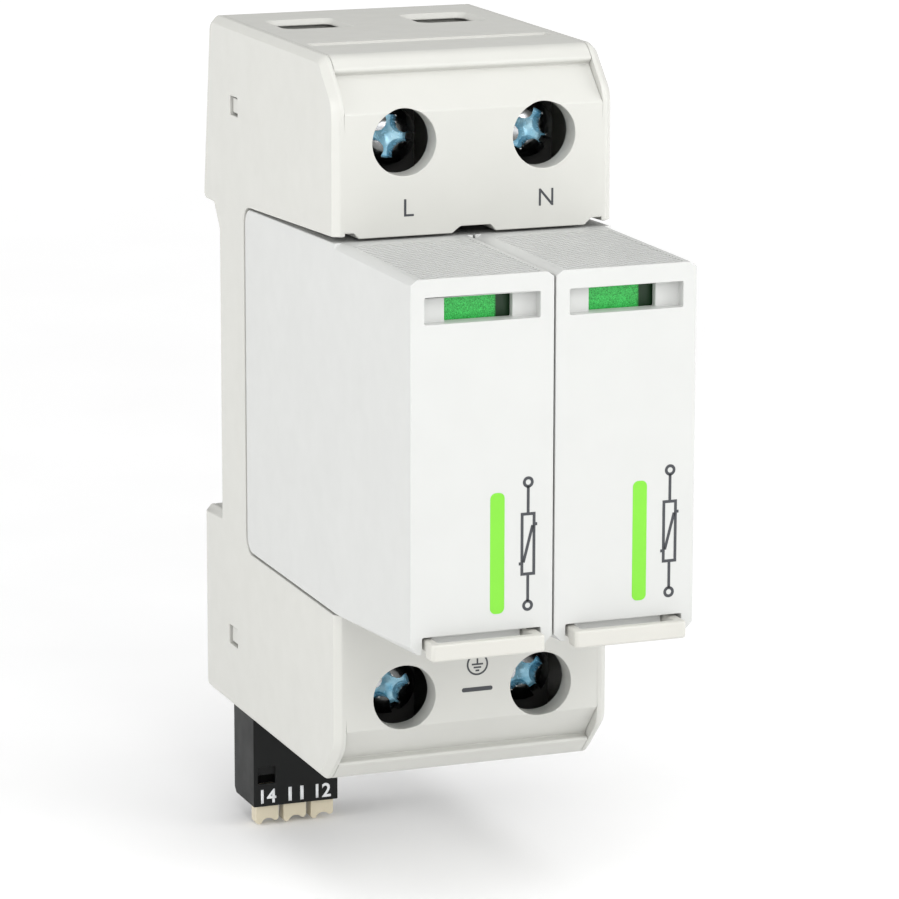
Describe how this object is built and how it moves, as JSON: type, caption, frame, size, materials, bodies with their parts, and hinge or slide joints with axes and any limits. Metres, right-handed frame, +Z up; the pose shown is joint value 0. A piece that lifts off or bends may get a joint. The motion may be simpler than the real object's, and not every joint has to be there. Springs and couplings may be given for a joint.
{
  "type": "pluggable surge protector",
  "caption": "Two-pole surge protector for a DIN rail: slim terminal base with side covers, plug-in modules with status windows and pull handles, and a signal plug.",
  "frame": {"origin": "centre of the face that bears on the DIN rail, at the rail's mid height", "axes": "+X across the rail to the right seen from the front, +Y into the rail, -Y the front, +Z up"},
  "size_m": [0.036, 0.0794, 0.1065],
  "materials": {
    "base_housing": "fine matte moulded, warm light grey",
    "module_housing": "fine matte moulded, cool white",
    "handle_plastic": "satin moulded, slightly creamy",
    "latch_plastic": "satin grey nylon",
    "black_plastic": "satin black glass-filled",
    "ivory_plastic": "satin ivory",
    "flag_green": "satin green, slightly speckled",
    "flag_red": "satin red",
    "screw_steel": "blue-passivated zinc plated steel",
    "zinc_steel": "zinc plated steel",
    "spring_steel": "bright spring wire",
    "tinned_copper": "tin-plated copper",
    "varistor_coating": "blue epoxy-coated zinc oxide block",
    "circuit_board": "green glass-epoxy laminate"
  },
  "bodies": {
    "base": {"base_body": "base_housing", "side_cover_left": "base_housing", "side_cover_right": "base_housing", "rail_latch_spring": "spring_steel", "line_input_bar": "tinned_copper", "neutral_input_bar": "tinned_copper", "earth_bar": "tinned_copper", "signal_board": "circuit_board", "coding_pegs": "base_housing", "signal_header": "black_plastic", "signal_pins": "tinned_copper", "line_upper_contact_clip": "tinned_copper", "line_lower_contact_clip": "tinned_copper", "line_signal_switch": "black_plastic", "neutral_upper_contact_clip": "tinned_copper", "neutral_lower_contact_clip": "tinned_copper", "neutral_signal_switch": "black_plastic"},
    "rail_latch": {"rail_latch": "latch_plastic"},
    "signal_plug": {"signal_plug": "black_plastic", "signal_plug_contacts": "tinned_copper"},
    "signal_lever_14": {"signal_lever_14": "ivory_plastic"},
    "signal_lever_11": {"signal_lever_11": "ivory_plastic"},
    "signal_lever_12": {"signal_lever_12": "ivory_plastic"},
    "line_upper_terminal_screw": {"line_upper_terminal_screw": "screw_steel"},
    "line_upper_clamp_cage": {"line_upper_clamp_cage": "zinc_steel"},
    "line_lower_terminal_screw": {"line_lower_terminal_screw": "screw_steel"},
    "line_lower_clamp_cage": {"line_lower_clamp_cage": "zinc_steel"},
    "neutral_upper_terminal_screw": {"neutral_upper_terminal_screw": "screw_steel"},
    "neutral_upper_clamp_cage": {"neutral_upper_clamp_cage": "zinc_steel"},
    "neutral_lower_terminal_screw": {"neutral_lower_terminal_screw": "screw_steel"},
    "neutral_lower_clamp_cage": {"neutral_lower_clamp_cage": "zinc_steel"},
    "line_module": {"line_module_shell": "module_housing", "line_module_rear_cover": "module_housing", "line_upper_blade": "tinned_copper", "line_lower_blade": "tinned_copper", "line_varistor": "varistor_coating", "line_arm_pin": "screw_steel", "line_disconnect_spring": "spring_steel", "line_status_backing": "flag_red"},
    "line_module_handle": {"line_module_handle": "handle_plastic"},
    "line_disconnect_arm": {"line_disconnect_arm": "tinned_copper"},
    "line_status_flag": {"line_status_flag": "flag_green"},
    "line_switch_plunger": {"line_switch_plunger": "ivory_plastic"},
    "neutral_module": {"neutral_module_shell": "module_housing", "neutral_module_rear_cover": "module_housing", "neutral_upper_blade": "tinned_copper", "neutral_lower_blade": "tinned_copper", "neutral_varistor": "varistor_coating", "neutral_arm_pin": "screw_steel", "neutral_disconnect_spring": "spring_steel", "neutral_status_backing": "flag_red"},
    "neutral_module_handle": {"neutral_module_handle": "handle_plastic"},
    "neutral_disconnect_arm": {"neutral_disconnect_arm": "tinned_copper"},
    "neutral_status_flag": {"neutral_status_flag": "flag_green"},
    "neutral_switch_plunger": {"neutral_switch_plunger": "ivory_plastic"}
  },
  "joints": [
    {"name": "rail_latch_slide", "type": "slide", "parent": "base", "child": "rail_latch", "axis": [0, 0, -1], "range_m": [0, 0.0025], "stiffness_N_per_m": 1200, "springref_m": -0.003, "deforming": ["rail_latch_spring"]},
    {"name": "signal_plug_slide", "type": "slide", "parent": "base", "child": "signal_plug", "axis": [0, 0, -1], "range_m": [0, 0.01]},
    {"name": "signal_lever_14_press", "type": "slide", "parent": "signal_plug", "child": "signal_lever_14", "axis": [0, 0, 1], "range_m": [0, 0.0012], "stiffness_N_per_m": 400, "springref_m": -0.0008},
    {"name": "signal_lever_11_press", "type": "slide", "parent": "signal_plug", "child": "signal_lever_11", "axis": [0, 0, 1], "range_m": [0, 0.0012], "stiffness_N_per_m": 400, "springref_m": -0.0008},
    {"name": "signal_lever_12_press", "type": "slide", "parent": "signal_plug", "child": "signal_lever_12", "axis": [0, 0, 1], "range_m": [0, 0.0012], "stiffness_N_per_m": 400, "springref_m": -0.0008},
    {"name": "line_upper_screw_turn", "type": "hinge", "parent": "base", "child": "line_upper_terminal_screw", "pos_m": [-0.009, -0.03, 0.03485], "axis": [0, 1, 0], "range_deg": [0, 3151]},
    {"name": "line_upper_cage_slide", "type": "slide", "parent": "base", "child": "line_upper_clamp_cage", "axis": [0, -1, 0], "range_m": [0, 0.007]},
    {"name": "line_lower_screw_turn", "type": "hinge", "parent": "base", "child": "line_lower_terminal_screw", "pos_m": [-0.009, -0.03, -0.03385], "axis": [0, 1, 0], "range_deg": [0, 3151]},
    {"name": "line_lower_cage_slide", "type": "slide", "parent": "base", "child": "line_lower_clamp_cage", "axis": [0, -1, 0], "range_m": [0, 0.007]},
    {"name": "neutral_upper_screw_turn", "type": "hinge", "parent": "base", "child": "neutral_upper_terminal_screw", "pos_m": [0.009, -0.03, 0.03485], "axis": [0, 1, 0], "range_deg": [0, 3151]},
    {"name": "neutral_upper_cage_slide", "type": "slide", "parent": "base", "child": "neutral_upper_clamp_cage", "axis": [0, -1, 0], "range_m": [0, 0.007]},
    {"name": "neutral_lower_screw_turn", "type": "hinge", "parent": "base", "child": "neutral_lower_terminal_screw", "pos_m": [0.009, -0.03, -0.03385], "axis": [0, 1, 0], "range_deg": [0, 3151]},
    {"name": "neutral_lower_cage_slide", "type": "slide", "parent": "base", "child": "neutral_lower_clamp_cage", "axis": [0, -1, 0], "range_m": [0, 0.007]},
    {"name": "line_module_slide", "type": "slide", "parent": "base", "child": "line_module", "axis": [0, -1, 0], "range_m": [0, 0.04]},
    {"name": "line_handle_slide", "type": "slide", "parent": "line_module", "child": "line_module_handle", "axis": [0, -1, 0], "range_m": [0, 0.008]},
    {"name": "line_arm_trip", "type": "hinge", "parent": "line_module", "child": "line_disconnect_arm", "pos_m": [-0.0112, -0.05, 0.0143], "axis": [1, 0, 0], "range_deg": [0, 13.8], "deforming": ["line_disconnect_spring"]},
    {"name": "line_flag_slide", "type": "slide", "parent": "line_module", "child": "line_status_flag", "axis": [0, 0, -1], "range_m": [0, 0.0036]},
    {"name": "line_plunger_press", "type": "slide", "parent": "base", "child": "line_switch_plunger", "axis": [0, 1, 0], "range_m": [0, 0.0008], "stiffness_N_per_m": 200, "springref_m": -0.0005},
    {"name": "neutral_module_slide", "type": "slide", "parent": "base", "child": "neutral_module", "axis": [0, -1, 0], "range_m": [0, 0.04]},
    {"name": "neutral_handle_slide", "type": "slide", "parent": "neutral_module", "child": "neutral_module_handle", "axis": [0, -1, 0], "range_m": [0, 0.008]},
    {"name": "neutral_arm_trip", "type": "hinge", "parent": "neutral_module", "child": "neutral_disconnect_arm", "pos_m": [0.0068, -0.05, 0.0143], "axis": [1, 0, 0], "range_deg": [0, 13.8], "deforming": ["neutral_disconnect_spring"]},
    {"name": "neutral_flag_slide", "type": "slide", "parent": "neutral_module", "child": "neutral_status_flag", "axis": [0, 0, -1], "range_m": [0, 0.0036]},
    {"name": "neutral_plunger_press", "type": "slide", "parent": "base", "child": "neutral_switch_plunger", "axis": [0, 1, 0], "range_m": [0, 0.0008], "stiffness_N_per_m": 200, "springref_m": -0.0005}
  ],
  "couplings": [
    {"joint": "line_upper_screw_turn", "follows": "line_upper_cage_slide", "rad_per_m": 7854},
    {"joint": "line_lower_screw_turn", "follows": "line_lower_cage_slide", "rad_per_m": 7854},
    {"joint": "neutral_upper_screw_turn", "follows": "neutral_upper_cage_slide", "rad_per_m": 7854},
    {"joint": "neutral_lower_screw_turn", "follows": "neutral_lower_cage_slide", "rad_per_m": 7854},
    {"joint": "line_arm_trip", "follows": "line_flag_slide", "rad_per_m": 66.667},
    {"joint": "neutral_arm_trip", "follows": "neutral_flag_slide", "rad_per_m": 66.667}
  ]
}
